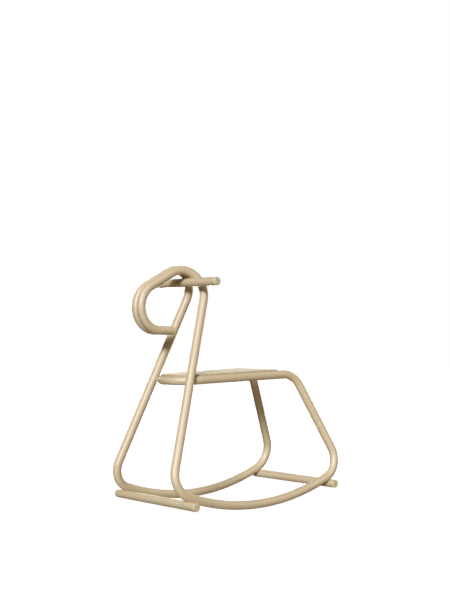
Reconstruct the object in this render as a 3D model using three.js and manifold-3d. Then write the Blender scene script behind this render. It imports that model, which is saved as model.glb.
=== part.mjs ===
// Bentwood rocking horse, an assembly of separate wooden and steel pieces.
//
// One closed line of round beech rod runs round the whole toy: from the chin, round the muzzle and
// over the crown as a pair of touching rods, down the two sides of the neck, along the two curved
// runners, up the rear legs and round the seat. It is made of five bent rods joined end to end
// with hidden dowels. Three straight round bars cross it, and a thin plywood seat lies in it.
//
// Millimetres, +Z up. The horse faces -Y and its left side is +X. X = 0 is the plane of symmetry,
// Z = 0 is the floor, and the origin is under the middle of the outline.

import * as THREE from "three";
import { mergeVertices } from "three/addons/utils/BufferGeometryUtils.js";
import Module from "manifold-3d";

const wasm = await Module();
wasm.setup();

// ---------------------------------------------------------------- driving dimensions

const ROD_RADIUS = 14;
const ROD_SIDES = 14;
const GAP = 0.3; // between pieces that touch
const BEND_STEP = THREE.MathUtils.degToRad(10); // turn between two sections of a tight bend
const RUNNER_STEP = THREE.MathUtils.degToRad(3);

// Corners of the left half of the rod's centre line, each rounded with its own bend radius.
const CHIN_END = new THREE.Vector3(14, -229.5, 578.4);
const MUZZLE = { at: new THREE.Vector3(14, -576, 583.3), bend: 75.2 };
const CROWN = { at: new THREE.Vector3(10.8, -58.7, 856.4), bend: 74.7 };
const FRONT_FOOT = { at: new THREE.Vector3(162.8, -349.4, 82.8), bend: 71.4 };
const RUNNER = { at: new THREE.Vector3(171, 17.6, -42.3), bend: 843.7 };
const REAR_FOOT = { at: new THREE.Vector3(179.2, 382.5, 105.6), bend: 73.7 };
const RUMP = { at: new THREE.Vector3(107.6, 223.2, 430.2), bend: 71.8 };
const SEAT_CORNER = { at: new THREE.Vector3(77.5, -239.5, 416.6), bend: 76 };
const SEAT_FRONT = new THREE.Vector3(0, -239.5, 416.6);

// Where the rods are joined, as a fraction of the runner's bend and of the rear leg's length.
const FRONT_JOINT = 0.16;
const REAR_JOINT = 0.42;

// Straight bars across the horse: centre height and place, and length.
const HANDLEBAR = { y: -161.1, z: 736.3, length: 318 };
const FRONT_STOP = { y: -286.7, z: 35.3, length: 420 };
const REAR_STOP = { y: 327.1, z: 54.6, length: 412 };
const BAR_EDGE = 4; // rounding of a bar's end
const BAR_EDGE_PARTS = 3;

// Seat panel, in the plane of the seat rails.
const PANEL_THICKNESS = 9;
const PANEL_PROUD = 4; // top of the panel above the top of the rails
const PANEL_INSET = 1; // edge of the panel inside the rails' centre line
const PANEL_REAR_Y = 154;
const PANEL_CORNER_PARTS = 14;

// Wooden dowels: across the head rods, and in the end grain of rods that meet.
const DOWEL_RADIUS = 4;
const DOWEL_LENGTH = 36;
const DOWEL_SIDES = 12;
const DOWEL_CHAMFER = 1;
const SPLICE_RADIUS = 6;
const SPLICE_LENGTH = 60;

// Where the head dowels are, as a fraction of the chin's straight, the muzzle's bend and the
// straight from there to the crown.
const HEAD_DOWELS = { chin: 0.3, muzzle: 0.5, crown: 0.8 };

// Steel fasteners. Their heads are sunk under the surface of the wood.
const SCREW = { head: 4, shank: 2, rim: 0.6, countersink: 3, tip: 5, sides: 10 };
const SCREW_SINK = 4;
const BAR_SCREW_LENGTH = 40;
const SEAT_SCREW_LENGTH = 24;
const SEAT_SCREW_INSET = 6; // inside the rails' centre line
const SEAT_SCREW_HEAD_HEIGHT = -9; // from the plane of the rails' centre lines
const SEAT_SCREWS = [
  { place: "front", y: -125 },
  { place: "middle", y: 10 },
  { place: "rear", y: 130 },
];
const BOLT = { head: 5, headHeight: 4, shank: 3, pastCentre: 6 };
const SPACER_RADIUS = 6;

const BEECH = { color: 0xd2bd9b, roughness: 0.45, metalness: 0 };
const PLYWOOD = { color: 0xd6c3a4, roughness: 0.4, metalness: 0 };
const DOWEL_WOOD = { color: 0xc8a878, roughness: 0.7, metalness: 0 };
const STEEL = { color: 0x9c9c9a, roughness: 0.35, metalness: 1 };

const horse = new THREE.Group();

// ---------------------------------------------------------------- solids

// Vertices that coincide are merged, and triangles that this leaves without area are dropped.
function toSolid(geometry) {
  geometry.deleteAttribute("normal");
  geometry.deleteAttribute("uv");
  const merged = mergeVertices(geometry);
  const corners = merged.index.array;
  const kept = [];
  for (let i = 0; i < corners.length; i += 3) {
    const [a, b, c] = [corners[i], corners[i + 1], corners[i + 2]];
    if (a !== b && b !== c && c !== a) kept.push(a, b, c);
  }
  const mesh = new wasm.Mesh({
    numProp: 3,
    vertProperties: new Float32Array(merged.attributes.position.array),
    triVerts: new Uint32Array(kept),
  });
  return new wasm.Manifold(mesh);
}

function toGeometry(solid) {
  const mesh = solid.getMesh();
  const geometry = new THREE.BufferGeometry();
  geometry.setAttribute("position", new THREE.BufferAttribute(mesh.vertProperties, 3));
  geometry.setIndex(new THREE.BufferAttribute(mesh.triVerts, 1));
  return geometry;
}

function addPiece(name, solid, look) {
  const mesh = new THREE.Mesh(toGeometry(solid), new THREE.MeshStandardMaterial(look));
  mesh.name = name;
  horse.add(mesh);
}

function cut(solid, tools) {
  return tools.reduce((rest, tool) => rest.subtract(tool), solid);
}

// A turned solid: its profile of [radius, height] points runs from start along direction.
function turned(profile, sides, start, direction) {
  const points = profile.map(([radius, height]) => new THREE.Vector2(radius, height));
  const geometry = new THREE.LatheGeometry(points, sides);
  const up = new THREE.Vector3(0, 1, 0);
  geometry.applyQuaternion(new THREE.Quaternion().setFromUnitVectors(up, direction));
  geometry.translate(start.x, start.y, start.z);
  return toSolid(geometry);
}

function cylinder(radius, length, start, direction) {
  const profile = [[0, 0], [radius, 0], [radius, length], [0, length]];
  return turned(profile, DOWEL_SIDES, start, direction);
}

// A cylinder with small chamfers, as dowels have.
function pin(radius, length, start, direction) {
  const profile = [
    [0, 0],
    [radius - DOWEL_CHAMFER, 0],
    [radius, DOWEL_CHAMFER],
    [radius, length - DOWEL_CHAMFER],
    [radius - DOWEL_CHAMFER, length],
    [0, length],
  ];
  return turned(profile, DOWEL_SIDES, start, direction);
}

// ---------------------------------------------------------------- the rod's centre line

// The round of one corner of the line: where it starts and ends, its centre and its turn.
function cornerArc(before, corner, after) {
  const toBefore = before.clone().sub(corner.at).normalize();
  const toAfter = after.clone().sub(corner.at).normalize();
  const inside = toBefore.angleTo(toAfter);
  const tangent = corner.bend / Math.tan(inside / 2);
  const start = corner.at.clone().addScaledVector(toBefore, tangent);
  const end = corner.at.clone().addScaledVector(toAfter, tangent);
  const middle = toBefore.clone().add(toAfter).normalize();
  const centre = corner.at.clone().addScaledVector(middle, corner.bend / Math.sin(inside / 2));
  return { start, end, centre, turn: Math.PI - inside, bend: corner.bend, forward: toBefore.negate() };
}

// The place and direction of the line at a fraction of a corner's arc.
function onArc(arc, fraction) {
  const angle = arc.turn * fraction;
  const outward = arc.start.clone().sub(arc.centre).divideScalar(arc.bend);
  const point = arc.centre.clone()
    .addScaledVector(outward, arc.bend * Math.cos(angle))
    .addScaledVector(arc.forward, arc.bend * Math.sin(angle));
  const tangent = arc.forward.clone()
    .multiplyScalar(Math.cos(angle))
    .addScaledVector(outward, -Math.sin(angle));
  return { point, tangent };
}

function arcStations(arc, from, to, step) {
  const count = Math.max(1, Math.ceil((arc.turn * (to - from)) / step));
  const stations = [];
  for (let i = 0; i <= count; i += 1) {
    stations.push(onArc(arc, from + ((to - from) * i) / count));
  }
  return stations;
}

function mirrored(vector) {
  return new THREE.Vector3(-vector.x, vector.y, vector.z);
}

function mirroredStations(stations) {
  return stations.map(({ point, tangent }) => ({ point: mirrored(point), tangent: mirrored(tangent) }));
}

// A curve through ready-made stations, so that bends are finely divided and straights are not.
class StationCurve extends THREE.Curve {
  constructor(stations) {
    super();
    this.stations = stations;
  }

  stationAt(u) {
    return this.stations[Math.round(u * (this.stations.length - 1))];
  }

  getPointAt(u, target = new THREE.Vector3()) {
    return target.copy(this.stationAt(u).point);
  }

  getTangentAt(u, target = new THREE.Vector3()) {
    return target.copy(this.stationAt(u).tangent);
  }
}

function rod(stations, radius = ROD_RADIUS) {
  const section = new THREE.Shape();
  for (let i = 0; i < ROD_SIDES; i += 1) {
    const angle = (2 * Math.PI * i) / ROD_SIDES;
    const x = radius * Math.cos(angle);
    const y = radius * Math.sin(angle);
    if (i === 0) section.moveTo(x, y);
    else section.lineTo(x, y);
  }
  section.closePath();
  const geometry = new THREE.ExtrudeGeometry(section, {
    steps: stations.length - 1,
    extrudePath: new StationCurve(stations),
  });
  return toSolid(geometry);
}

const muzzleArc = cornerArc(CHIN_END, MUZZLE, CROWN.at);
const crownArc = cornerArc(MUZZLE.at, CROWN, FRONT_FOOT.at);
const frontFootArc = cornerArc(CROWN.at, FRONT_FOOT, RUNNER.at);
const runnerArc = cornerArc(FRONT_FOOT.at, RUNNER, REAR_FOOT.at);
const rearFootArc = cornerArc(RUNNER.at, REAR_FOOT, RUMP.at);
const rumpArc = cornerArc(REAR_FOOT.at, RUMP, SEAT_CORNER.at);
const seatCornerArc = cornerArc(RUMP.at, SEAT_CORNER, SEAT_FRONT);

function straightStation(from, to, fraction) {
  return { point: from.clone().lerp(to, fraction), tangent: to.clone().sub(from).normalize() };
}

const chinStation = straightStation(CHIN_END, muzzleArc.start, 0);
const frontJoint = onArc(runnerArc, FRONT_JOINT);
const rearJoint = straightStation(rearFootArc.end, rumpArc.start, REAR_JOINT);
const headDowelStations = {
  chin: straightStation(CHIN_END, muzzleArc.start, HEAD_DOWELS.chin),
  muzzle: onArc(muzzleArc, HEAD_DOWELS.muzzle),
  crown: straightStation(muzzleArc.end, crownArc.start, HEAD_DOWELS.crown),
};

// A rod stops half a gap before the joint with the next one.
function trimmed(station, forward) {
  const point = station.point.clone().addScaledVector(station.tangent, (forward * GAP) / 2);
  return { point, tangent: station.tangent };
}

const neckStations = [
  chinStation,
  ...arcStations(muzzleArc, 0, 1, BEND_STEP),
  ...arcStations(crownArc, 0, 1, BEND_STEP),
  ...arcStations(frontFootArc, 0, 1, BEND_STEP),
  ...arcStations(runnerArc, 0, FRONT_JOINT, RUNNER_STEP).slice(0, -1),
  trimmed(frontJoint, -1),
];

const runnerStations = [
  trimmed(frontJoint, 1),
  ...arcStations(runnerArc, FRONT_JOINT, 1, RUNNER_STEP).slice(1),
  ...arcStations(rearFootArc, 0, 1, BEND_STEP),
  trimmed(rearJoint, -1),
];

const leftSeatStations = [
  trimmed(rearJoint, 1),
  ...arcStations(rumpArc, 0, 1, BEND_STEP),
  ...arcStations(seatCornerArc, 0, 1, BEND_STEP),
];

const rightSeatStations = mirroredStations(leftSeatStations)
  .reverse()
  .map(({ point, tangent }) => ({ point, tangent: tangent.negate() }));

// ---------------------------------------------------------------- what goes through the rods

const SIDES = [
  { side: "left", sign: 1 },
  { side: "right", sign: -1 },
];

function onSide(vector, sign) {
  return new THREE.Vector3(sign * vector.x, vector.y, vector.z);
}

// A dowel in the end grain of two rods that meet at a station, or with extra its hole.
function spliceDowel(station, sign, extra) {
  const direction = onSide(station.tangent, sign);
  const length = SPLICE_LENGTH + 2 * extra;
  const start = onSide(station.point, sign).addScaledVector(direction, -length / 2);
  return pin(SPLICE_RADIUS + extra, length, start, direction);
}

// A dowel across the pair of touching head rods, or with extra its hole.
function headDowel(station, extra) {
  const length = DOWEL_LENGTH + 2 * extra;
  const start = new THREE.Vector3(-length / 2, station.point.y, station.point.z);
  return pin(DOWEL_RADIUS + extra, length, start, new THREE.Vector3(1, 0, 0));
}

// A countersunk wood screw with its head's face at start, or with extra the hole that it sits in.
function woodScrew(start, direction, length, extra) {
  const head = SCREW.head + extra;
  const shank = SCREW.shank + extra;
  const reach = length + extra;
  const top = extra > 0 ? -SCREW_SINK : 0;
  const profile = [
    [0, top],
    [head, top],
    [head, SCREW.rim + extra],
    [shank, SCREW.countersink + extra],
    [shank, reach - SCREW.tip],
    [0, reach],
  ];
  return turned(profile, SCREW.sides, start, direction);
}

// A round-headed bolt with its head's face at start, or with extra its stepped hole.
function seatBolt(start, direction, length, extra) {
  const head = BOLT.head + extra;
  const shank = BOLT.shank + extra;
  const top = extra > 0 ? -SCREW_SINK : 0;
  const profile = [
    [0, top],
    [head, top],
    [head, BOLT.headHeight + extra],
    [shank, BOLT.headHeight + extra],
    [shank, length + extra],
    [0, length + extra],
  ];
  return turned(profile, DOWEL_SIDES, start, direction);
}

// The point of the left side's centre line that a bar lies against.
function crossing(stations, bar) {
  const barPoint = new THREE.Vector3(0, bar.y, bar.z);
  let best = { distance: Infinity };
  for (let i = 0; i + 1 < stations.length; i += 1) {
    const a = stations[i].point;
    const b = stations[i + 1].point;
    const flat = new THREE.Line3(new THREE.Vector3(0, a.y, a.z), new THREE.Vector3(0, b.y, b.z));
    const fraction = flat.closestPointToPointParameter(barPoint, true);
    const point = a.clone().lerp(b, fraction);
    const distance = Math.hypot(point.y - bar.y, point.z - bar.z);
    if (distance < best.distance) best = { point, distance };
  }
  return best.point;
}

// Screws that hold a bar to the rods. Their heads are sunk in the rods or in the bar.
function barScrews(stations, bar, headsInBar) {
  const rodCentre = crossing(stations, bar);
  const barCentre = new THREE.Vector3(rodCentre.x, bar.y, bar.z);
  const [from, to] = headsInBar ? [barCentre, rodCentre] : [rodCentre, barCentre];
  const direction = to.clone().sub(from).normalize();
  const start = from.clone().addScaledVector(direction, SCREW_SINK - ROD_RADIUS);
  return (sign, extra) => woodScrew(onSide(start, sign), onSide(direction, sign), BAR_SCREW_LENGTH, extra);
}

// ---------------------------------------------------------------- seat

const seatSlope = Math.atan2(RUMP.at.z - SEAT_CORNER.at.z, RUMP.at.y - SEAT_CORNER.at.y);
const seatNormal = new THREE.Vector3(0, -Math.sin(seatSlope), Math.cos(seatSlope));
const railInward = seatCornerArc.centre.clone().sub(seatCornerArc.start).normalize();

function railPoint(y) {
  const fraction = (y - SEAT_CORNER.at.y) / (RUMP.at.y - SEAT_CORNER.at.y);
  return SEAT_CORNER.at.clone().lerp(RUMP.at, fraction);
}

// The panel's outline follows the rails and the round front, and its rear edge is straight.
function seatOutline(inset, rearY) {
  const left = [railPoint(rearY).addScaledVector(railInward, inset)];
  for (let i = 0; i <= PANEL_CORNER_PARTS; i += 1) {
    const { point } = onArc(seatCornerArc, i / PANEL_CORNER_PARTS);
    const inward = seatCornerArc.centre.clone().sub(point).normalize();
    left.push(point.addScaledVector(inward, inset));
  }
  const right = left.map(mirrored).reverse();
  return [...left, ...right].map(
    (point) => new THREE.Vector2(point.x, (point.y - SEAT_FRONT.y) / Math.cos(seatSlope)),
  );
}

// A slab of that outline, between two heights above the plane of the rails' centre lines.
function seatSlab(inset, rearY, bottom, top) {
  const shape = new THREE.Shape(seatOutline(inset, rearY));
  const geometry = new THREE.ExtrudeGeometry(shape, { depth: top - bottom, bevelEnabled: false });
  geometry.translate(0, 0, bottom);
  geometry.rotateX(seatSlope);
  geometry.translate(0, SEAT_FRONT.y, SEAT_FRONT.z);
  return toSolid(geometry);
}

const panelTop = ROD_RADIUS + PANEL_PROUD;
const panelBottom = panelTop - PANEL_THICKNESS;

function seatScrew(y, sign, extra) {
  const start = railPoint(y)
    .addScaledVector(railInward, SEAT_SCREW_INSET)
    .addScaledVector(seatNormal, SEAT_SCREW_HEAD_HEIGHT);
  return woodScrew(onSide(start, sign), seatNormal, SEAT_SCREW_LENGTH, extra);
}

// Each side of the seat is bolted to the upright beside its front corner, with a spacer between.
const uprightLine = new THREE.Line3(crownArc.end, frontFootArc.start);
const seatPlane = new THREE.Plane().setFromNormalAndCoplanarPoint(seatNormal, SEAT_FRONT);
const uprightCentre = seatPlane.intersectLine(uprightLine, new THREE.Vector3());
const boltDirection = uprightCentre.clone().sub(seatCornerArc.centre).normalize();
const hoopCentre = seatCornerArc.centre.clone().addScaledVector(boltDirection, SEAT_CORNER.bend);

function sideBolt(sign, extra) {
  const start = hoopCentre.clone().addScaledVector(boltDirection, SCREW_SINK - ROD_RADIUS);
  const length = start.distanceTo(uprightCentre) + BOLT.pastCentre;
  return seatBolt(onSide(start, sign), onSide(boltDirection, sign), length, extra);
}

function spacerBlank(sign) {
  const length = hoopCentre.distanceTo(uprightCentre);
  const start = onSide(hoopCentre, sign);
  return cylinder(SPACER_RADIUS, length, start, onSide(boltDirection, sign));
}

// ---------------------------------------------------------------- pieces

function stationsOn(stations, sign) {
  return sign > 0 ? stations : mirroredStations(stations);
}

// A bar across the horse with rounded ends.
function bar({ y, z, length }) {
  const profile = [[0, 0]];
  for (let i = 0; i <= BAR_EDGE_PARTS; i += 1) {
    const angle = (Math.PI / 2) * (i / BAR_EDGE_PARTS);
    const radius = ROD_RADIUS - BAR_EDGE * (1 - Math.sin(angle));
    profile.push([radius, BAR_EDGE * (1 - Math.cos(angle))]);
  }
  const farEnd = profile.map(([radius, height]) => [radius, length - height]).reverse();
  const start = new THREE.Vector3(-length / 2, y, z);
  return turned([...profile, ...farEnd], ROD_SIDES, start, new THREE.Vector3(1, 0, 0));
}

// Everything beyond the plane where the two head rods are planed flat to meet.
function beyondMiddle(sign) {
  const size = 2000; // larger than the horse
  const geometry = new THREE.BoxGeometry(size, size, size);
  geometry.translate((-sign * (size - GAP)) / 2, 0, 0);
  return toSolid(geometry);
}

const handlebarScrews = barScrews(neckStations, HANDLEBAR, false);
const frontStopScrews = barScrews(neckStations, FRONT_STOP, true);
const rearStopScrews = barScrews(runnerStations, REAR_STOP, true);
const seatStations = [...leftSeatStations, ...rightSeatStations];

const rods = SIDES.map(({ side, sign }) => ({
  side,
  sign,
  neck: rod(stationsOn(neckStations, sign)),
  neckWithGap: rod(stationsOn(neckStations, sign), ROD_RADIUS + GAP),
  runner: rod(stationsOn(runnerStations, sign)),
  runnerWithGap: rod(stationsOn(runnerStations, sign), ROD_RADIUS + GAP),
}));

const hoopWithGap = rod(seatStations, ROD_RADIUS + GAP);

function onBothSides(makeTool) {
  return SIDES.map(({ sign }) => makeTool(sign));
}

for (const { side, sign, neck, runner } of rods) {
  const headHoles = Object.values(headDowelStations).map((station) => headDowel(station, GAP));
  const neckCuts = [
    beyondMiddle(sign),
    ...headHoles,
    handlebarScrews(sign, GAP),
    frontStopScrews(sign, GAP),
    sideBolt(sign, GAP),
    spliceDowel(frontJoint, sign, GAP),
  ];
  const runnerCuts = [
    spliceDowel(frontJoint, sign, GAP),
    spliceDowel(rearJoint, sign, GAP),
    rearStopScrews(sign, GAP),
  ];
  addPiece(`neck_rod_${side}`, cut(neck, neckCuts), BEECH);
  addPiece(`runner_${side}`, cut(runner, runnerCuts), BEECH);
}

const rebateTop = ROD_RADIUS + PANEL_THICKNESS; // well clear of the rails
const seatCuts = [
  seatSlab(PANEL_INSET - GAP, PANEL_REAR_Y + GAP, panelBottom - GAP, rebateTop),
  ...onBothSides((sign) => spliceDowel(rearJoint, sign, GAP)),
  ...onBothSides((sign) => sideBolt(sign, GAP)),
  ...SEAT_SCREWS.flatMap(({ y }) => onBothSides((sign) => seatScrew(y, sign, GAP))),
];
addPiece("seat_hoop", cut(rod(seatStations), seatCuts), BEECH);

const panelCuts = SEAT_SCREWS.flatMap(({ y }) => onBothSides((sign) => seatScrew(y, sign, GAP)));
const panel = seatSlab(PANEL_INSET, PANEL_REAR_Y, panelBottom, panelTop);
addPiece("seat_panel", cut(panel, panelCuts), PLYWOOD);

const necks = rods.map(({ neckWithGap }) => neckWithGap);
const runners = rods.map(({ runnerWithGap }) => runnerWithGap);
const barPieces = [
  { name: "handlebar", size: HANDLEBAR, rested: necks, screws: handlebarScrews },
  { name: "front_stop_bar", size: FRONT_STOP, rested: necks, screws: frontStopScrews },
  { name: "rear_stop_bar", size: REAR_STOP, rested: runners, screws: rearStopScrews },
];
for (const { name, size, rested, screws } of barPieces) {
  const holes = onBothSides((sign) => screws(sign, GAP));
  addPiece(name, cut(bar(size), [...rested, ...holes]), BEECH);
  for (const { side, sign } of SIDES) {
    addPiece(`${name}_screw_${side}`, screws(sign, 0), STEEL);
  }
}

for (const { side, sign, neckWithGap } of rods) {
  addPiece(`front_splice_dowel_${side}`, spliceDowel(frontJoint, sign, 0), DOWEL_WOOD);
  addPiece(`rear_splice_dowel_${side}`, spliceDowel(rearJoint, sign, 0), DOWEL_WOOD);
  addPiece(`seat_bolt_${side}`, sideBolt(sign, 0), STEEL);
  const spacer = cut(spacerBlank(sign), [neckWithGap, hoopWithGap, sideBolt(sign, GAP)]);
  addPiece(`seat_spacer_${side}`, spacer, BEECH);
  for (const { place, y } of SEAT_SCREWS) {
    addPiece(`seat_screw_${side}_${place}`, seatScrew(y, sign, 0), STEEL);
  }
}

for (const [place, station] of Object.entries(headDowelStations)) {
  addPiece(`head_dowel_${place}`, headDowel(station, 0), DOWEL_WOOD);
}

export default horse;
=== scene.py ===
"""Looks for the bentwood rocking horse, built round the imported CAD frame.

Metres, +Z up, in the CAD frame: the horse faces -Y and its left side is +X.
"""

import math

import bmesh
import bpy
import numpy as np
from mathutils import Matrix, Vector


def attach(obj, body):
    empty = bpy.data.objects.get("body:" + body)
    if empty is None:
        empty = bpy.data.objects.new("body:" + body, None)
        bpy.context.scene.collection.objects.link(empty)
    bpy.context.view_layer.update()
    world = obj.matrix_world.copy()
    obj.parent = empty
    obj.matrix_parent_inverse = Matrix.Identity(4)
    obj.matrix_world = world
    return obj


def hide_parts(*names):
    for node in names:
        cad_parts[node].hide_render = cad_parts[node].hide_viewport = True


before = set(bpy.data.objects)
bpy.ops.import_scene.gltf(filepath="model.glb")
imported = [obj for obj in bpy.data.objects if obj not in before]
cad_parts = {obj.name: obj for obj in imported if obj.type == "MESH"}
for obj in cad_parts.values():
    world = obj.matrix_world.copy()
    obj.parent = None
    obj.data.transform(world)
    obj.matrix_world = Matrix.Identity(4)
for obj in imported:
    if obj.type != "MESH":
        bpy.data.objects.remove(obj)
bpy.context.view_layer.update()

# ---------------------------------------------------------------- driving dimensions

MM = 0.001
ROD_RADIUS = 14 * MM
GAP = 0.3 * MM  # between pieces that touch
AROUND = 48  # sides of a rod's section
NOTCH_PARTS = 8  # steps along each wall of the rebate
WIDE_EDGE_STEPS = 8
FINE_EDGE_STEPS = 3
FINE_EDGE = 1 * MM  # an edge this small is rounded with the fine steps
STRAIGHT_STEP = 8 * MM
BAR_STEP = 2 * MM
BEND_STEP = math.radians(3)
RUNNER_STEP = math.radians(0.6)
SHARP_ANGLE = math.radians(30)
WELD_DISTANCE = 0.003 * MM


def point(x, y, z):
    return np.array([x, y, z]) * MM


# The left half of the rods' centre line: straight between corners, each with its own bend radius.
CHIN_END = point(14, -229.5, 578.4)
MUZZLE = (point(14, -576, 583.3), 75.2 * MM)
CROWN = (point(10.8, -58.7, 856.4), 74.7 * MM)
FRONT_FOOT = (point(162.8, -349.4, 82.8), 71.4 * MM)
RUNNER = (point(171, 17.6, -42.3), 843.7 * MM)
REAR_FOOT = (point(179.2, 382.5, 105.6), 73.7 * MM)
RUMP = (point(107.6, 223.2, 430.2), 71.8 * MM)
SEAT_CORNER = (point(77.5, -239.5, 416.6), 76 * MM)
SEAT_FRONT = point(0, -239.5, 416.6)

FRONT_JOINT = 0.16  # share of the runner's bend
REAR_JOINT = 0.42  # share of the rear leg's length
CHIN_EDGE = 1.5 * MM  # how far a rod's end is rounded
JOINT_EDGE = 0.15 * MM

HANDLEBAR = {"y": -161.1 * MM, "z": 736.3 * MM, "length": 318 * MM}
FRONT_STOP = {"y": -286.7 * MM, "z": 35.3 * MM, "length": 420 * MM}
REAR_STOP = {"y": 327.1 * MM, "z": 54.6 * MM, "length": 412 * MM}
BAR_EDGE = 4 * MM

# Seat panel: heights are from the plane of the rails' centre lines.
PANEL_TOP = ROD_RADIUS + 4 * MM
PANEL_BOTTOM = PANEL_TOP - 9 * MM
PANEL_INSET = 1 * MM
PANEL_REAR_Y = 154 * MM
PANEL_EDGE = 1.2 * MM
PANEL_CORNER_PARTS = 40
REBATE_STEP = 0.01 * MM  # half the thickness of the rebate's end wall
PLY_THICKNESS = 1.29 * MM

HEAD_DOWELS = (0.3, 0.5, 0.8)  # shares of the chin, the muzzle's bend and the straight after it
DOWEL_RADIUS = 4 * MM
DOWEL_LENGTH = 36 * MM
SPLICE_RADIUS = 6 * MM
SPLICE_LENGTH = 60 * MM
SPACER_RADIUS = 6 * MM
SPACER_SIDES = 32
TURNED_SIDES = 36

SCREW = {"head": 4 * MM, "shank": 2 * MM, "rim": 0.6 * MM, "countersink": 3 * MM, "tip": 5 * MM}
SCREW_SINK = 4 * MM
BAR_SCREW_LENGTH = 40 * MM
SEAT_SCREW_LENGTH = 24 * MM
SEAT_SCREW_INSET = 6 * MM
SEAT_SCREW_HEAD_HEIGHT = -9 * MM
SEAT_SCREWS = {"front": -125 * MM, "middle": 10 * MM, "rear": 130 * MM}
BOLT = {"head": 5 * MM, "head_height": 4 * MM, "shank": 3 * MM, "past_centre": 6 * MM}
HEX_SIDES = 6
SOCKET_DEPTH = 1.8 * MM
HEAD_EDGE = 0.5 * MM

# How far along the grain each piece is cut, so that no two pieces look alike.
GRAIN_SHIFTS = {
    "neck_rod_left": 0.0,
    "neck_rod_right": 3.1,
    "runner_left": 6.3,
    "runner_right": 9.7,
    "seat_hoop": 12.9,
    "handlebar": 15.2,
    "front_stop_bar": 17.6,
    "rear_stop_bar": 19.3,
    "spacer": 21.0,
    "seat_panel": 1.7,
}

# The camera: where it stands, where it looks, and the lens.
CAMERA_PLACE = (2.9419, -2.5069, 0.5783)
CAMERA_AZIMUTH = 2.4347
CAMERA_ELEVATION = 0.0268
CAMERA_LENS = 68.53

UP = np.array([0.0, 0.0, 1.0])
ACROSS = np.array([1.0, 0.0, 0.0])
SIDES = (("left", 1), ("right", -1))  # with the sign of X there

# ---------------------------------------------------------------- the rod's centre line


def unit(vector):
    return vector / np.linalg.norm(vector)


def corner_arc(before, corner, after):
    """The round of one corner, and its direction at the start."""
    at, bend = corner
    to_before, to_after = unit(before - at), unit(after - at)
    inside = math.acos(np.clip(to_before @ to_after, -1, 1))
    tangent = bend / math.tan(inside / 2)
    return {
        "start": at + to_before * tangent,
        "end": at + to_after * tangent,
        "centre": at + unit(to_before + to_after) * bend / math.sin(inside / 2),
        "turn": math.pi - inside,
        "bend": bend,
        "forward": -to_before,
    }


def on_arc(arc, fraction):
    """Place and direction at a fraction of a corner's arc."""
    angle = arc["turn"] * fraction
    outward = (arc["start"] - arc["centre"]) / arc["bend"]
    reach = outward * math.cos(angle) + arc["forward"] * math.sin(angle)
    return arc["centre"] + arc["bend"] * reach, arc["forward"] * math.cos(angle) - outward * math.sin(angle)


def on_straight(start, end, fraction):
    return start + (end - start) * fraction, unit(end - start)


def arc_stations(arc, step, low=0.0, high=1.0):
    count = max(2, math.ceil(arc["turn"] * (high - low) / step))
    return [on_arc(arc, low + (high - low) * i / count) for i in range(count + 1)]


def straight_stations(start, end, step=STRAIGHT_STEP):
    """Stations between two places, without the first and the last."""
    count = max(1, math.ceil(np.linalg.norm(end - start) / step))
    return [on_straight(start, end, i / count) for i in range(1, count)]


def joined(*runs):
    """One list of stations, with straight ones filled in between the runs."""
    stations = list(runs[0])
    for run in runs[1:]:
        if np.linalg.norm(run[0][0] - stations[-1][0]) > GAP:
            stations += straight_stations(stations[-1][0], run[0][0])
            stations += run
        else:
            stations += run[1:]
    return stations


def moved(station, distance):
    return station[0] + station[1] * distance, station[1]


def on_side(vector, sign):
    return vector * np.array([sign, 1, 1])


def stations_on(stations, sign):
    return [(on_side(place, sign), on_side(direction, sign)) for place, direction in stations]


muzzle_arc = corner_arc(CHIN_END, MUZZLE, CROWN[0])
crown_arc = corner_arc(MUZZLE[0], CROWN, FRONT_FOOT[0])
front_foot_arc = corner_arc(CROWN[0], FRONT_FOOT, RUNNER[0])
runner_arc = corner_arc(FRONT_FOOT[0], RUNNER, REAR_FOOT[0])
rear_foot_arc = corner_arc(RUNNER[0], REAR_FOOT, RUMP[0])
rump_arc = corner_arc(REAR_FOOT[0], RUMP, SEAT_CORNER[0])
seat_corner_arc = corner_arc(RUMP[0], SEAT_CORNER, SEAT_FRONT)

front_joint = on_arc(runner_arc, FRONT_JOINT)
rear_joint = on_straight(rear_foot_arc["end"], rump_arc["start"], REAR_JOINT)
head_dowel_places = {
    "chin": on_straight(CHIN_END, muzzle_arc["start"], HEAD_DOWELS[0])[0],
    "muzzle": on_arc(muzzle_arc, HEAD_DOWELS[1])[0],
    "crown": on_straight(muzzle_arc["end"], crown_arc["start"], HEAD_DOWELS[2])[0],
}


def rail_point(y):
    share = (y - SEAT_CORNER[0][1]) / (RUMP[0][1] - SEAT_CORNER[0][1])
    return SEAT_CORNER[0] + (RUMP[0] - SEAT_CORNER[0]) * share


rebate_y = PANEL_REAR_Y + GAP
rail_direction = unit(SEAT_CORNER[0] - RUMP[0])
rebate_end = [
    (rail_point(rebate_y + REBATE_STEP), rail_direction),
    (rail_point(rebate_y - REBATE_STEP), rail_direction),
]

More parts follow.
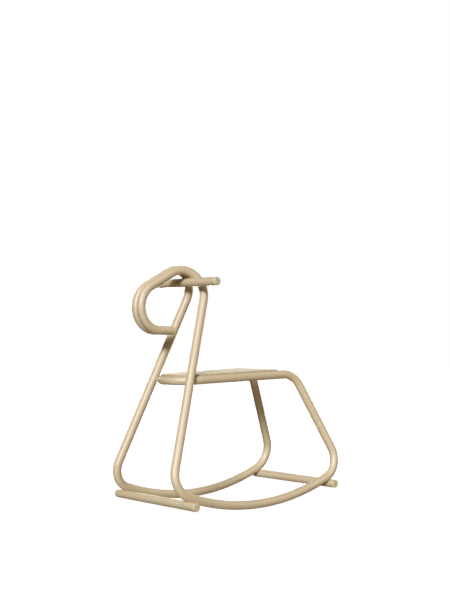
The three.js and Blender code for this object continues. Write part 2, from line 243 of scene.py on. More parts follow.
neck_stations = joined(
    [(CHIN_END, unit(muzzle_arc["start"] - CHIN_END))],
    arc_stations(muzzle_arc, BEND_STEP),
    arc_stations(crown_arc, BEND_STEP),
    arc_stations(front_foot_arc, BEND_STEP),
    arc_stations(runner_arc, RUNNER_STEP, 0, FRONT_JOINT)[:-1] + [moved(front_joint, -GAP / 2)],
)
runner_stations = joined(
    [moved(front_joint, GAP / 2)] + arc_stations(runner_arc, RUNNER_STEP, FRONT_JOINT, 1)[1:],
    arc_stations(rear_foot_arc, BEND_STEP),
    [moved(rear_joint, -GAP / 2)],
)
left_seat_stations = joined(
    [moved(rear_joint, GAP / 2)],
    arc_stations(rump_arc, BEND_STEP),
    rebate_end,
    arc_stations(seat_corner_arc, BEND_STEP),
)
right_seat_stations = [
    (place, -direction) for place, direction in stations_on(left_seat_stations, -1)[::-1]
]
seat_stations = joined(left_seat_stations, right_seat_stations)

seat_slope = math.atan2(RUMP[0][2] - SEAT_CORNER[0][2], RUMP[0][1] - SEAT_CORNER[0][1])
seat_normal = np.array([0, -math.sin(seat_slope), math.cos(seat_slope)])
rail_inward = unit(seat_corner_arc["centre"] - seat_corner_arc["start"])

# ---------------------------------------------------------------- meshes


def carried_frames(stations, normal, from_middle):
    """A normal and a binormal at each station, carried without twist from the first or the middle one."""
    start = len(stations) // 2 if from_middle else 0
    frames = [None] * len(stations)
    for order in (range(start, len(stations)), range(start, -1, -1)):
        carried = normal
        for i in order:
            direction = stations[i][1]
            carried = unit(carried - direction * (carried @ direction))
            frames[i] = (carried, np.cross(direction, carried))
    return frames


def bridge(mesh, ring, after):
    """Faces between two rings. A ring of one vertex is a tip."""
    count = max(len(ring), len(after))
    for i in range(count):
        j = (i + 1) % count
        near = (ring[i % len(ring)], ring[j % len(ring)])
        far = (after[j % len(after)], after[i % len(after)])
        mesh.faces.new(list(dict.fromkeys(near + far)))


def finished(name, mesh):
    """An object of a bmesh."""
    bmesh.ops.recalc_face_normals(mesh, faces=mesh.faces)
    data = bpy.data.meshes.new(name)
    mesh.to_mesh(data)
    mesh.free()
    made = bpy.data.objects.new(name, data)
    bpy.context.scene.collection.objects.link(made)
    return made


def smooth(piece):
    piece.data.shade_smooth()
    piece.data.set_sharp_from_angle(angle=SHARP_ANGLE)


def rod_sections(stations, edges):
    """Sections along a rod whose two ends are rounded: a list of (station, radius)."""
    ends = []
    for end, inward, edge in ((stations[0], 1, edges[0]), (stations[-1], -1, edges[1])):
        steps = WIDE_EDGE_STEPS if edge > FINE_EDGE else FINE_EDGE_STEPS
        angles = [math.pi / 2 * i / steps for i in range(steps + 1)]
        ends.append([
            (moved(end, inward * edge * (1 - math.cos(a))), ROD_RADIUS - edge * (1 - math.sin(a)))
            for a in angles
        ])
    middle = [
        (station, ROD_RADIUS)
        for station in stations
        if np.linalg.norm(station[0] - stations[0][0]) > edges[0] + GAP
        and np.linalg.norm(station[0] - stations[-1][0]) > edges[1] + GAP
    ]
    return ends[0] + middle + ends[1][::-1]


def on_circle(angles, radius):
    return np.stack([np.cos(angles), np.sin(angles)], axis=1) * radius


def round_outline(_, radius):
    """A section's outline, as (along the normal, along the binormal) points: the same at every place."""
    return on_circle(np.arange(AROUND) * 2 * math.pi / AROUND, radius)


def hoop_outline(place, radius):
    """The hoop's section: under the panel a rebate is cut in its inner upper quarter."""
    wall, ledge = PANEL_INSET - GAP, PANEL_BOTTOM - GAP
    wall_top = math.asin(wall / ROD_RADIUS)
    ledge_end = math.acos(ledge / ROD_RADIUS)
    corner, last = NOTCH_PARTS, 2 * NOTCH_PARTS
    notch = np.linspace(wall_top, ledge_end, last + 1)
    rest = np.linspace(ledge_end, wall_top + 2 * math.pi, AROUND - NOTCH_PARTS)[1:-1]
    outline = on_circle(np.concatenate([notch, rest]), radius)
    if place[1] < rebate_y:
        outline[:corner + 1, 1] = wall
        outline[:corner + 1, 0] = np.linspace(outline[0, 0], ledge, corner + 1)
        outline[corner:last + 1, 0] = ledge
        outline[corner:last + 1, 1] = np.linspace(wall, outline[last, 1], corner + 1)
    return outline


def swept(name, stations, edges, outline=round_outline, normal=UP, from_middle=False):
    """A rod along the stations, with its two ends rounded by edges[0] and edges[1]."""
    sections = rod_sections(stations, edges)
    frames = carried_frames([station for station, _ in sections], normal, from_middle)
    mesh = bmesh.new()
    rings = []
    for ((place, _), radius), (across, aside) in zip(sections, frames):
        points = outline(place, radius)
        rings.append([mesh.verts.new(place + across * u + aside * v) for u, v in points])
    for ring, after in zip(rings, rings[1:]):
        bridge(mesh, ring, after)
    for ring, (station, _) in ((rings[0], sections[0]), (rings[-1], sections[-1])):
        bridge(mesh, ring, [mesh.verts.new(station[0])])
    return finished(name, mesh)


def turned_reach(angle, radius, flats):
    """How far a ring is from its axis at an angle: round, or with a number of flats."""
    if not flats:
        return radius
    half = math.pi / flats[0]
    return radius * math.cos(half) / math.cos(angle % (2 * half) - half)


def add_turned(mesh, profile, start, direction):
    """Adds a turned solid. Its profile has (radius, height) points, with a third number for flats."""
    steep = 0.9
    aside = unit(np.cross(direction, UP if abs(direction[2]) < steep else ACROSS))
    other = np.cross(direction, aside)
    angles = [2 * math.pi * i / TURNED_SIDES for i in range(TURNED_SIDES)]
    rings = []
    for radius, height, *flats in profile:
        centre = start + direction * height
        if radius == 0:
            rings.append([mesh.verts.new(centre)])
            continue
        ring = []
        for angle in angles:
            outward = aside * math.cos(angle) + other * math.sin(angle)
            ring.append(mesh.verts.new(centre + outward * turned_reach(angle, radius, flats)))
        rings.append(ring)
    for ring, after in zip(rings, rings[1:]):
        bridge(mesh, ring, after)


def weld(piece):
    """Merges the vertices that a cut left almost in one place."""
    mesh = bmesh.new()
    mesh.from_mesh(piece.data)
    bmesh.ops.remove_doubles(mesh, verts=mesh.verts, dist=WELD_DISTANCE)
    bmesh.ops.dissolve_degenerate(mesh, edges=mesh.edges, dist=WELD_DISTANCE)
    mesh.to_mesh(piece.data)
    mesh.free()


def cut_away(piece, tool):
    """Cuts one mesh object out of another, and removes the tool."""
    modifier = piece.modifiers.new("cut", "BOOLEAN")
    modifier.object = tool
    modifier.operation = "DIFFERENCE"
    modifier.solver = "EXACT"
    graph = bpy.context.evaluated_depsgraph_get()
    result = bpy.data.meshes.new_from_object(piece.evaluated_get(graph))
    piece.modifiers.clear()
    piece.data = result
    bpy.data.objects.remove(tool)
    weld(piece)


def drill(piece, holes):
    """Drills turned holes, each a (profile, start, direction)."""
    mesh = bmesh.new()
    for hole in holes:
        add_turned(mesh, *hole)
    cut_away(piece, finished("holes", mesh))


def plane_flat(piece, sign):
    """Planes a head rod flat where it meets its twin."""
    mesh = bmesh.new()
    size = 2.0
    bmesh.ops.create_cube(mesh, size=size)
    bmesh.ops.translate(mesh, verts=mesh.verts, vec=(-sign * (size - GAP) / 2, 0, 0))
    cut_away(piece, finished("beyond_middle", mesh))


def coordinates(piece):
    flat = np.empty(len(piece.data.vertices) * 3)
    piece.data.vertices.foreach_get("co", flat)
    return flat.reshape(-1, 3)


def split_stations(stations):
    """The places and the directions of a list of stations, as two arrays."""
    return np.array([place for place, _ in stations]), np.array([direction for _, direction in stations])


def nearest_station(places, points):
    """For each point, the index of the station nearest to it."""
    nearest = np.empty(len(points), dtype=int)
    chunk = 4000
    for low in range(0, len(points), chunk):
        apart = points[low:low + chunk, None] - places[None]
        nearest[low:low + chunk] = np.argmin((apart ** 2).sum(axis=2), axis=1)
    return nearest


def store_grain(piece, grain):
    attribute = piece.data.attributes.new("grain", "FLOAT_VECTOR", "POINT")
    attribute.data.foreach_set("vector", grain.astype(np.float32).ravel())


def set_grain(piece, stations, shift, normal=UP, from_middle=False):
    """Each vertex's place in the straight rod before it was bent: across, across and along, in metres."""
    places, directions = split_stations(stations)
    frames = carried_frames(stations, normal, from_middle)
    across = np.array([pair[0] for pair in frames])
    aside = np.array([pair[1] for pair in frames])
    along = np.concatenate([[0], np.cumsum(np.linalg.norm(np.diff(places, axis=0), axis=1))])
    points = coordinates(piece)
    nearest = nearest_station(places, points)
    offset = points - places[nearest]
    grain = np.stack([
        (offset * across[nearest]).sum(axis=1),
        (offset * aside[nearest]).sum(axis=1),
        along[nearest] + (offset * directions[nearest]).sum(axis=1) + shift,
    ], axis=1)
    store_grain(piece, grain)


# ---------------------------------------------------------------- fasteners


def screw_shape(length):
    """Profiles of a countersunk screw's hole and of the screw, from the face of its head."""
    head, shank, rim, sink = SCREW["head"], SCREW["shank"], SCREW["rim"], SCREW["countersink"]
    socket = head / 2
    hole = [
        (0, -SCREW_SINK),
        (head + GAP, -SCREW_SINK),
        (head + GAP, rim + GAP),
        (shank + GAP, sink + GAP),
        (shank + GAP, length - SCREW["tip"]),
        (0, length + GAP),
    ]
    body = [
        (0, SOCKET_DEPTH),
        (socket, SOCKET_DEPTH, HEX_SIDES),
        (socket, 0, HEX_SIDES),
        (head - HEAD_EDGE, 0),
        (head, HEAD_EDGE),
        (head, rim),
        (shank, sink),
        (shank, length - SCREW["tip"]),
        (0, length),
    ]
    return hole, body


def bolt_shape(length):
    """Profiles of a bolt's stepped hole and of the bolt, from the face of its head."""
    head, shank, height = BOLT["head"], BOLT["shank"], BOLT["head_height"]
    socket = head / 2
    hole = [
        (0, -SCREW_SINK),
        (head + GAP, -SCREW_SINK),
        (head + GAP, height + GAP),
        (shank + GAP, height + GAP),
        (shank + GAP, length + GAP),
        (0, length + GAP),
    ]
    body = [
        (0, SOCKET_DEPTH),
        (socket, SOCKET_DEPTH, HEX_SIDES),
        (socket, 0, HEX_SIDES),
        (head - HEAD_EDGE, 0),
        (head, HEAD_EDGE),
        (head, height),
        (shank, height),
        (shank, length),
        (0, length),
    ]
    return hole, body


def fastener(shape, start, direction):
    """The left side's fastener and its twin: side to (hole, body), each (profile, start, direction)."""
    twins = {}
    for side, sign in SIDES:
        there, inward = on_side(start, sign), on_side(direction, sign)
        twins[side] = tuple((profile, there, inward) for profile in shape)
    return twins


def bar_screw(stations, bar, head_in_bar):
    """The screw between a bar and the rod that it lies against. Its head is in the rod or in the bar."""
    places, directions = split_stations(stations)
    apart = places[:, 1:] - (bar["y"], bar["z"])
    i = int(np.argmin(np.hypot(apart[:, 0], apart[:, 1])))
    flat = directions[i][1:]
    rod_centre = places[i] - directions[i] * (apart[i] @ flat) / (flat @ flat)
    bar_centre = np.array([rod_centre[0], bar["y"], bar["z"]])
    start, end = (bar_centre, rod_centre) if head_in_bar else (rod_centre, bar_centre)
    inward = unit(end - start)
    return fastener(screw_shape(BAR_SCREW_LENGTH), start + inward * (SCREW_SINK - ROD_RADIUS), inward)


def seat_screw(y):
    under_rail = rail_inward * SEAT_SCREW_INSET + seat_normal * SEAT_SCREW_HEAD_HEIGHT
    start = rail_point(y) + under_rail
    return fastener(screw_shape(SEAT_SCREW_LENGTH), start, seat_normal)


# Each side of the seat is bolted to the upright beside its front corner, with a spacer between.
upright_direction = unit(front_foot_arc["start"] - crown_arc["end"])
upright_reach = (SEAT_FRONT - crown_arc["end"]) @ seat_normal / (upright_direction @ seat_normal)
upright_centre = crown_arc["end"] + upright_direction * upright_reach
bolt_direction = unit(upright_centre - seat_corner_arc["centre"])
hoop_centre = seat_corner_arc["centre"] + bolt_direction * SEAT_CORNER[1]
bolt_start = hoop_centre + bolt_direction * (SCREW_SINK - ROD_RADIUS)
bolt_length = np.linalg.norm(bolt_start - upright_centre) + BOLT["past_centre"]

# Node names, with the side still to be filled in.
fasteners = {
    "handlebar_screw_SIDE": bar_screw(neck_stations, HANDLEBAR, False),
    "front_stop_bar_screw_SIDE": bar_screw(neck_stations, FRONT_STOP, True),
    "rear_stop_bar_screw_SIDE": bar_screw(runner_stations, REAR_STOP, True),
    "seat_bolt_SIDE": fastener(bolt_shape(bolt_length), bolt_start, bolt_direction),
}
seat_screw_names = [f"seat_screw_SIDE_{screw_place}" for screw_place in SEAT_SCREWS]
for screw_name, screw_y in zip(seat_screw_names, SEAT_SCREWS.values()):
    fasteners[screw_name] = seat_screw(screw_y)


def fastener_holes(names, sides=("left", "right")):
    return [fasteners[name][side][0] for name in names for side in sides]


def dowel_hole(centre, direction, radius, length):
    """A straight hole for a dowel whose middle is at the centre."""
    half = length / 2 + GAP
    profile = [(0, -half), (radius + GAP, -half), (radius + GAP, half), (0, half)]
    return profile, centre, direction


def splice_hole(station, sign):
    place, direction = station
    return dowel_hole(on_side(place, sign), on_side(direction, sign), SPLICE_RADIUS, SPLICE_LENGTH)


head_holes = [
    dowel_hole(place * np.array([0, 1, 1]), ACROSS, DOWEL_RADIUS, DOWEL_LENGTH)
    for place in head_dowel_places.values()
]

# ---------------------------------------------------------------- materials


def add_node(tree, kind, values=None, **settings):
    """A node with some input values and settings."""
    node = tree.nodes.new(kind)
    for key, value in settings.items():
        setattr(node, key, value)
    for key, value in (values or {}).items():
        node.inputs[key].default_value = value
    return node


def ramp(tree, factor, stops):
    """Colours at places along a factor, each stop (place, colour)."""
    node = tree.nodes.new("ShaderNodeValToRGB")
    while len(node.color_ramp.elements) < len(stops):
        node.color_ramp.elements.new(0.5)
    for element, (place, colour) in zip(node.color_ramp.elements, stops):
        element.position = place
        element.color = (*colour, 1)
    tree.links.new(factor, node.inputs[0])
    return node.outputs[0]


def multiplied(tree, share, first, second):
    """The first colour, darkened by a share of the second."""
    node = tree.nodes.new("ShaderNodeMix")
    node.data_type = "RGBA"
    node.blend_type = "MULTIPLY"
    node.inputs["Factor"].default_value = share
    tree.links.new(first, node.inputs[6])
    tree.links.new(second, node.inputs[7])
    return node.outputs[2]


def stretched(tree, source, scale, shift=(0, 0, 0)):
    """Coordinates in metres times a scale: a large scale makes fine detail that way."""
    node = add_node(tree, "ShaderNodeMapping", vector_type="POINT")
    node.inputs["Location"].default_value = shift
    node.inputs["Scale"].default_value = scale
    tree.links.new(source, node.inputs["Vector"])
    return node.outputs[0]


def noise(tree, vector, detail=4.0, roughness=0.55):
    values = {"Scale": 1.0, "Detail": detail, "Roughness": roughness}
    node = add_node(tree, "ShaderNodeTexNoise", values)
    tree.links.new(vector, node.inputs["Vector"])
    return node.outputs["Fac"]


def grey(value):
    return (value, value, value)


def new_material(name):
    material = bpy.data.materials.new(name)
    material.use_nodes = True
    return material, material.node_tree, material.node_tree.nodes["Principled BSDF"]


def rough_bumped(tree, shader, height, strength, distance):
    bump = add_node(tree, "ShaderNodeBump", {"Strength": strength, "Distance": distance})
    tree.links.new(height, bump.inputs["Height"])
    tree.links.new(bump.outputs[0], shader.inputs["Normal"])


def year_rings(tree, source):
    """Rings round a pith that lies outside the rod."""
    values = {"Scale": 70.0, "Distortion": 2.2, "Detail": 2.0}
    rings = add_node(tree, "ShaderNodeTexWave", values, wave_type="RINGS", rings_direction="Z")
    tree.links.new(stretched(tree, source, (1, 1, 0.012), (0.055, 0.02, 0)), rings.inputs["Vector"])
    return rings.outputs["Fac"]


def wood_colour(tree, source, dark, tone, pale):
    """Beech: slow drift, year rings, fine streaks along the grain, and short dark ray flecks."""
    drift = noise(tree, stretched(tree, source, (60, 60, 2.0)), detail=2.0)
    streaks = noise(tree, stretched(tree, source, (420, 420, 9)))
    flecks = noise(tree, stretched(tree, source, (1500, 900, 260)), detail=1.0)
    rings = year_rings(tree, source)
    colour = ramp(tree, drift, [(0.3, dark), (0.5, tone), (0.72, pale)])
    ring_shade = ramp(tree, rings, [(0.0, (0.90, 0.87, 0.82)), (0.55, grey(1.0))])
    streak_shade = ramp(tree, streaks, [(0.3, (0.90, 0.88, 0.85)), (0.7, grey(1.04))])
    fleck_shade = ramp(tree, flecks, [(0.27, (0.74, 0.66, 0.56)), (0.37, grey(1.0))])
    colour = multiplied(tree, 0.5, colour, ring_shade)
    colour = multiplied(tree, 0.5, colour, streak_shade)
    colour = multiplied(tree, 0.4, colour, fleck_shade)
    return colour, streaks


def lacquered_wood(name, coat, dark, tone, pale):
    """Pale wood under a thin satin lacquer. The grain runs along the third grain coordinate."""
    material, tree, shader = new_material(name)
    source = add_node(tree, "ShaderNodeAttribute", attribute_name="grain").outputs["Vector"]
    colour, streaks = wood_colour(tree, source, dark, tone, pale)
    tree.links.new(colour, shader.inputs["Base Color"])
    gloss = ramp(tree, streaks, [(0.2, grey(0.56)), (0.8, grey(0.48))])
    tree.links.new(gloss, shader.inputs["Roughness"])
    shader.inputs["Coat Weight"].default_value = coat
    shader.inputs["Coat Roughness"].default_value = 0.5
    rough_bumped(tree, shader, streaks, 0.05, 0.2 * MM)
    return material


def plywood_edge():
    """The layers at the edge of the seat panel: every other layer shows darker end grain. The whole edge is
    also coloured darker than the face, as painted shade for the shadow line along the panel's edge.
    """
    material, tree, shader = new_material("seat_plywood_edge_with_painted_shade")
    source = add_node(tree, "ShaderNodeAttribute", attribute_name="grain").outputs["Vector"]
    speckle = noise(tree, stretched(tree, source, (900, 500, 900)), detail=3.0)
    split = add_node(tree, "ShaderNodeSeparateXYZ")
    tree.links.new(source, split.inputs[0])
    pair_thickness = 2 * PLY_THICKNESS
    layer = add_node(tree, "ShaderNodeMath", {1: pair_thickness}, operation="MODULO")
    tree.links.new(split.outputs["Y"], layer.inputs[0])
    share = add_node(tree, "ShaderNodeMath", {1: pair_thickness}, operation="DIVIDE")
    tree.links.new(layer.outputs[0], share.inputs[0])
    # Layer colours: real end grain and glue lines, set darker overall as painted shade for the shadow line
    # at the panel's edge.
    layers = ramp(tree, share.outputs[0], [
        (0.0, (0.52, 0.40, 0.25)),
        (0.46, (0.52, 0.40, 0.25)),
        (0.5, (0.30, 0.20, 0.11)),
        (0.54, (0.42, 0.31, 0.18)),
        (0.97, (0.42, 0.31, 0.18)),
    ])
    shade = ramp(tree, speckle, [(0.3, grey(0.78)), (0.7, grey(1.05))])
    tree.links.new(multiplied(tree, 1.0, layers, shade), shader.inputs["Base Color"])
    shader.inputs["Roughness"].default_value = 0.55
    rough_bumped(tree, shader, speckle, 0.2, 0.2 * MM)
    return material


def raw_dowel():
    """Unlacquered beech dowel with a fluted, fibrous surface."""
    material, tree, shader = new_material("dowel_raw")
    source = add_node(tree, "ShaderNodeTexCoord").outputs["Object"]
    fibres = noise(tree, stretched(tree, source, (700, 700, 700)), detail=5.0, roughness=0.7)
    colour = ramp(tree, fibres, [(0.3, (0.45, 0.32, 0.17)), (0.7, (0.60, 0.46, 0.27))])
    tree.links.new(colour, shader.inputs["Base Color"])
    shader.inputs["Roughness"].default_value = 0.75
    rough_bumped(tree, shader, fibres, 0.3, 0.2 * MM)
    return material


def zinc_steel():
    """Zinc-plated steel: a fine mottle, with slightly uneven gloss."""
    material, tree, shader = new_material("steel_zinc")
    source = add_node(tree, "ShaderNodeTexCoord").outputs["Object"]
    mottle = noise(tree, stretched(tree, source, (1100, 1100, 1100)), detail=4.0, roughness=0.65)
    colour = ramp(tree, mottle, [(0.3, (0.50, 0.50, 0.51)), (0.7, (0.68, 0.68, 0.66))])
    gloss = ramp(tree, mottle, [(0.3, grey(0.42)), (0.7, grey(0.28))])
    tree.links.new(colour, shader.inputs["Base Color"])
    tree.links.new(gloss, shader.inputs["Roughness"])
    shader.inputs["Metallic"].default_value = 1.0
    rough_bumped(tree, shader, mottle, 0.1, 0.05 * MM)
    return material


BEECH_TONES = ((0.56, 0.445, 0.262), (0.60, 0.483, 0.295), (0.63, 0.515, 0.322))
VENEER_TONES = ((0.55, 0.455, 0.30), (0.59, 0.49, 0.335), (0.63, 0.53, 0.37))

beech = lacquered_wood("beech_lacquered", 0.9, *BEECH_TONES)
veneer = lacquered_wood("seat_plywood_face", 0.1, *VENEER_TONES)
ply_edge = plywood_edge()
dowel_wood = raw_dowel()
steel = zinc_steel()

# ---------------------------------------------------------------- pieces


def placed(piece, node, slot, *materials):
    """Finishes a piece that stands for a CAD node."""
    smooth(piece)
    for material in materials:
        piece.data.materials.append(material)
    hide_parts(node)
    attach(piece, "root")


def make_neck_rod(side, sign):
    node = f"neck_rod_{side}"
    line = stations_on(neck_stations, sign)
    piece = swept(f"{node}_smooth", line, (CHIN_EDGE, JOINT_EDGE))
    plane_flat(piece, sign)
    names = ["handlebar_screw_SIDE", "front_stop_bar_screw_SIDE", "seat_bolt_SIDE"]
    drill(piece, fastener_holes(names, [side]) + [splice_hole(front_joint, sign)] + head_holes)
    set_grain(piece, line, GRAIN_SHIFTS[node])
    placed(piece, node, "beech", beech)


def make_runner(side, sign):
    node = f"runner_{side}"
    line = stations_on(runner_stations, sign)
    piece = swept(f"{node}_smooth", line, (JOINT_EDGE, JOINT_EDGE))
    splices = [splice_hole(front_joint, sign), splice_hole(rear_joint, sign)]
    drill(piece, fastener_holes(["rear_stop_bar_screw_SIDE"], [side]) + splices)
    set_grain(piece, line, GRAIN_SHIFTS[node])
    placed(piece, node, "beech", beech)


def make_hoop():
    edges = (JOINT_EDGE, JOINT_EDGE)
    piece = swept("seat_hoop_smooth", seat_stations, edges, hoop_outline, seat_normal, from_middle=True)
    splices = [splice_hole(rear_joint, sign) for _, sign in SIDES]
    drill(piece, splices + fastener_holes(["seat_bolt_SIDE"] + seat_screw_names))
    set_grain(piece, seat_stations, GRAIN_SHIFTS["seat_hoop"], seat_normal, from_middle=True)
    placed(piece, "seat_hoop", "beech", beech)


def panel_outline(inset):
    """The panel's outline in the rails' plane: along both rails, round the front, straight at the rear."""
    rear_y = PANEL_REAR_Y - (inset - PANEL_INSET)
    left = [rail_point(rear_y) + rail_inward * inset]
    for i in range(PANEL_CORNER_PARTS + 1):
        place, _ = on_arc(seat_corner_arc, i / PANEL_CORNER_PARTS)
        left.append(place + unit(seat_corner_arc["centre"] - place) * inset)
    return left + [on_side(place, -1) for place in left[::-1]]


def panel_levels():
    """The (inset, height) of each ring of the panel, upwards, with a round at both edges."""
    parts = 4
    rounds = [math.pi / 2 * i / parts for i in range(parts + 1)]
    levels = []
    for angle in rounds[::-1]:
        levels.append((angle, PANEL_BOTTOM + PANEL_EDGE * (1 - math.sin(angle))))
    for angle in rounds:
        levels.append((angle, PANEL_TOP - PANEL_EDGE * (1 - math.sin(angle))))
    return [(PANEL_INSET + PANEL_EDGE * (1 - math.cos(angle)), height) for angle, height in levels]


def make_panel():
    """The thin plywood seat, with softened edges and a hole for each screw."""
    mesh = bmesh.new()
    rings = []
    for inset, height in panel_levels():
        rings.append([mesh.verts.new(place + seat_normal * height) for place in panel_outline(inset)])
    for ring, after in zip(rings, rings[1:]):
        bridge(mesh, ring, after)
    mesh.faces.new(rings[0])
    mesh.faces.new(rings[-1])
    piece = finished("seat_panel_smooth", mesh)
    drill(piece, fastener_holes(seat_screw_names))
    points = coordinates(piece)
    height = (points - SEAT_FRONT) @ seat_normal - PANEL_BOTTOM
    along = points[:, 1] + GRAIN_SHIFTS["seat_panel"]
    store_grain(piece, np.stack([points[:, 0], height, along], axis=1))
    placed(piece, "seat_panel", "seat_plywood", veneer, ply_edge)
    flat_enough = 0.8
    for face in piece.data.polygons:
        face.material_index = 0 if abs(face.normal @ Vector(seat_normal)) > flat_enough else 1


def saddled(points, rod_stations):
    """The points, with those inside a rod pushed out to just clear of it."""
    places, directions = split_stations(rod_stations)
    nearest = nearest_station(places, points)
    offset = points - places[nearest]
    offset -= directions[nearest] * (offset * directions[nearest]).sum(axis=1)[:, None]
    distance = np.linalg.norm(offset, axis=1)[:, None]
    missing = np.maximum(ROD_RADIUS + GAP - distance, 0)
    return points + offset / distance * missing


def make_bar(name, bar, rod_stations):
    """A straight bar with rounded ends, saddled where it lies against the rods."""
    half = bar["length"] / 2
    ends = [np.array([x, bar["y"], bar["z"]]) for x in (-half, half)]
    line = [(ends[0], ACROSS)] + straight_stations(*ends, BAR_STEP) + [(ends[1], ACROSS)]
    piece = swept(f"{name}_smooth", line, (BAR_EDGE, BAR_EDGE))
    points = coordinates(piece)
    for _, sign in SIDES:
        points = saddled(points, stations_on(rod_stations, sign))
    piece.data.vertices.foreach_set("co", points.ravel())
    drill(piece, fastener_holes([f"{name}_screw_SIDE"]))
    set_grain(piece, line, GRAIN_SHIFTS[name])
    placed(piece, name, "beech", beech)


def surface_reach(start, direction, stations):
    """How far along a line the surface of a rod is, with the gap left in front of it."""
    places, directions = split_stations(stations)
    reach = 0.0
    steps = 60  # each one goes most of the way that is left
    for _ in range(steps):
        here = start + direction * reach
        i = int(nearest_station(places, here[None])[0])
        offset = here - places[i]
        offset = offset - directions[i] * (offset @ directions[i])
        reach += np.linalg.norm(offset) - ROD_RADIUS - GAP
    return reach


def spacer_ring(radius, toward):
    """Places round the left spacer's end at the upright (toward 1) or at the hoop (toward -1)."""
    middle = (hoop_centre + upright_centre) / 2
    aside = unit(np.cross(bolt_direction, UP))
    other = np.cross(bolt_direction, aside)
    stations = neck_stations if toward > 0 else left_seat_stations
    outward = bolt_direction * toward
    places = []
    for i in range(SPACER_SIDES):
        angle = 2 * math.pi * i / SPACER_SIDES
        start = middle + (aside * math.cos(angle) + other * math.sin(angle)) * radius
        places.append(start + outward * surface_reach(start, outward, stations))
    return places


def make_spacer(side, sign):
    """The short wooden spacer between hoop and upright, with saddled ends and a hole for the bolt."""
    bore = BOLT["shank"] + GAP
    mesh = bmesh.new()
    rings = []
    for radius, toward in ((SPACER_RADIUS, 1), (SPACER_RADIUS, -1), (bore, -1), (bore, 1)):
        rings.append([mesh.verts.new(on_side(place, sign)) for place in spacer_ring(radius, toward)])
    for ring, after in zip(rings, rings[1:] + rings[:1]):
        bridge(mesh, ring, after)
    piece = finished(f"seat_spacer_{side}_smooth", mesh)
    store_grain(piece, coordinates(piece) + GRAIN_SHIFTS["spacer"])
    placed(piece, f"seat_spacer_{side}", "beech", beech)


def make_fasteners():
    for name, twins in fasteners.items():
        for side, (_, body) in twins.items():
            node = name.replace("SIDE", side)
            mesh = bmesh.new()
            add_turned(mesh, *body)
            placed(finished(f"{node}_smooth", mesh), node, "steel", steel)


for rod_side, rod_sign in SIDES:
    make_neck_rod(rod_side, rod_sign)
    make_runner(rod_side, rod_sign)
    make_spacer(rod_side, rod_sign)
make_hoop()
make_panel()
make_bar("handlebar", HANDLEBAR, neck_stations)
make_bar("front_stop_bar", FRONT_STOP, neck_stations)
make_bar("rear_stop_bar", REAR_STOP, runner_stations)
make_fasteners()

# The hidden dowels stay as they are, in raw wood.
for node_name, node_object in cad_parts.items():
    if "dowel" in node_name:
        node_object.data.materials.clear()
        node_object.data.materials.append(dowel_wood)

# ---------------------------------------------------------------- studio

FLOOR_SIZE = 12  # half its width
UNSEEN_WORLD = 0.02  # strength of the surround to all but the camera
COOL = (0.95, 1.0, 1.15)
WARM = (1.0, 0.77, 0.48)
# Lights far away: azimuth from +X towards +Y, elevation, strength, width as seen, and colour.
LIGHTS = {
    "key": (306, 24, 3.45, 13, COOL),
    "key_spread": (300, 34, 0.5, 34, (1.0, 0.95, 0.88)),
    "overhead": (300, 75, 0.35, 60, (1.0, 0.96, 0.9)),
    "end_light": (0, 12, 0.45, 30, (1.0, 0.9, 0.72)),
    "back_left": (162, 12, 1.1, 30, (1.0, 0.88, 0.7)),
    "back_right": (98, 14, 0.8, 40, WARM),
    "back_low": (140, -9, 2.2, 20, (1.0, 0.96, 0.88)),
    "back_glance": (140, 5, 0.9, 40, (1.0, 0.97, 0.82)),
    "under_fill": (0, -90, 0.95, 90, WARM),
}


def direction_at(azimuth, elevation):
    """A direction, from angles in radians."""
    level = math.cos(elevation)
    return Vector((math.cos(azimuth) * level, math.sin(azimuth) * level, math.sin(elevation)))


def aim(thing, direction):
    thing.rotation_euler = direction.to_track_quat("-Z", "Y").to_euler()
    bpy.context.scene.collection.objects.link(thing)


def distant_light(name, azimuth, elevation, strength, width, colour):
    data = bpy.data.lights.new(name, "SUN")
    data.energy = strength
    data.color = colour
    data.angle = math.radians(width)
    aim(bpy.data.objects.new(name, data), -direction_at(math.radians(azimuth), math.radians(elevation)))


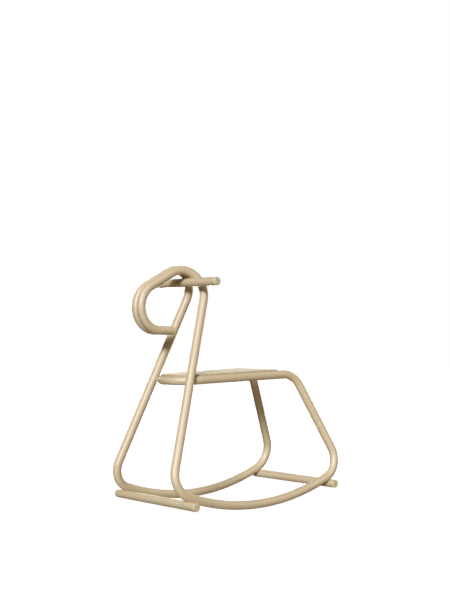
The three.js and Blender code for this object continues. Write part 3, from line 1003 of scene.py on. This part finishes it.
def floor_material():
    """White from above, and clear from below."""
    material, tree, shader = new_material("white_floor")
    shader.inputs["Base Color"].default_value = (*grey(0.3), 1)
    shader.inputs["Roughness"].default_value = 0.9
    shader.inputs["Specular IOR Level"].default_value = 0.0
    shader.inputs["Emission Color"].default_value = (1, 1, 1, 1)
    shader.inputs["Emission Strength"].default_value = 0.9
    clear = add_node(tree, "ShaderNodeBsdfTransparent")
    side = add_node(tree, "ShaderNodeNewGeometry")
    choice = add_node(tree, "ShaderNodeMixShader")
    tree.links.new(side.outputs["Backfacing"], choice.inputs[0])
    tree.links.new(shader.outputs[0], choice.inputs[1])
    tree.links.new(clear.outputs[0], choice.inputs[2])
    tree.links.new(choice.outputs[0], tree.nodes["Material Output"].inputs["Surface"])
    return material


def make_floor():
    """A floor that only the camera sees. The under fill stands for the light that a floor throws back."""
    mesh = bmesh.new()
    bmesh.ops.create_grid(mesh, x_segments=1, y_segments=1, size=FLOOR_SIZE)
    floor = finished("floor", mesh)
    floor.data.materials.append(floor_material())
    floor.visible_diffuse = False
    floor.visible_glossy = False
    floor.visible_transmission = False
    floor.visible_shadow = False


def make_camera():
    data = bpy.data.cameras.new("camera")
    data.lens = CAMERA_LENS
    data.clip_start, data.clip_end = 0.1, 60
    camera = bpy.data.objects.new("camera", data)
    camera.location = CAMERA_PLACE
    aim(camera, direction_at(CAMERA_AZIMUTH, CAMERA_ELEVATION))
    bpy.context.scene.camera = camera


def make_world():
    """White to the camera, and nearly dark to everything else."""
    world = bpy.data.worlds.new("studio")
    world.use_nodes = True
    tree = world.node_tree
    seen = tree.nodes["Background"]
    seen.inputs["Color"].default_value = (1, 1, 1, 1)
    unseen = add_node(tree, "ShaderNodeBackground", {"Strength": UNSEEN_WORLD})
    choice = add_node(tree, "ShaderNodeMixShader")
    path = add_node(tree, "ShaderNodeLightPath")
    tree.links.new(path.outputs["Is Camera Ray"], choice.inputs[0])
    tree.links.new(unseen.outputs[0], choice.inputs[1])
    tree.links.new(seen.outputs[0], choice.inputs[2])
    tree.links.new(choice.outputs[0], tree.nodes["World Output"].inputs["Surface"])
    bpy.context.scene.world = world


make_camera()
make_world()
make_floor()
for light_name, light in LIGHTS.items():
    distant_light(light_name, *light)
bpy.context.scene.view_settings.view_transform = "Standard"
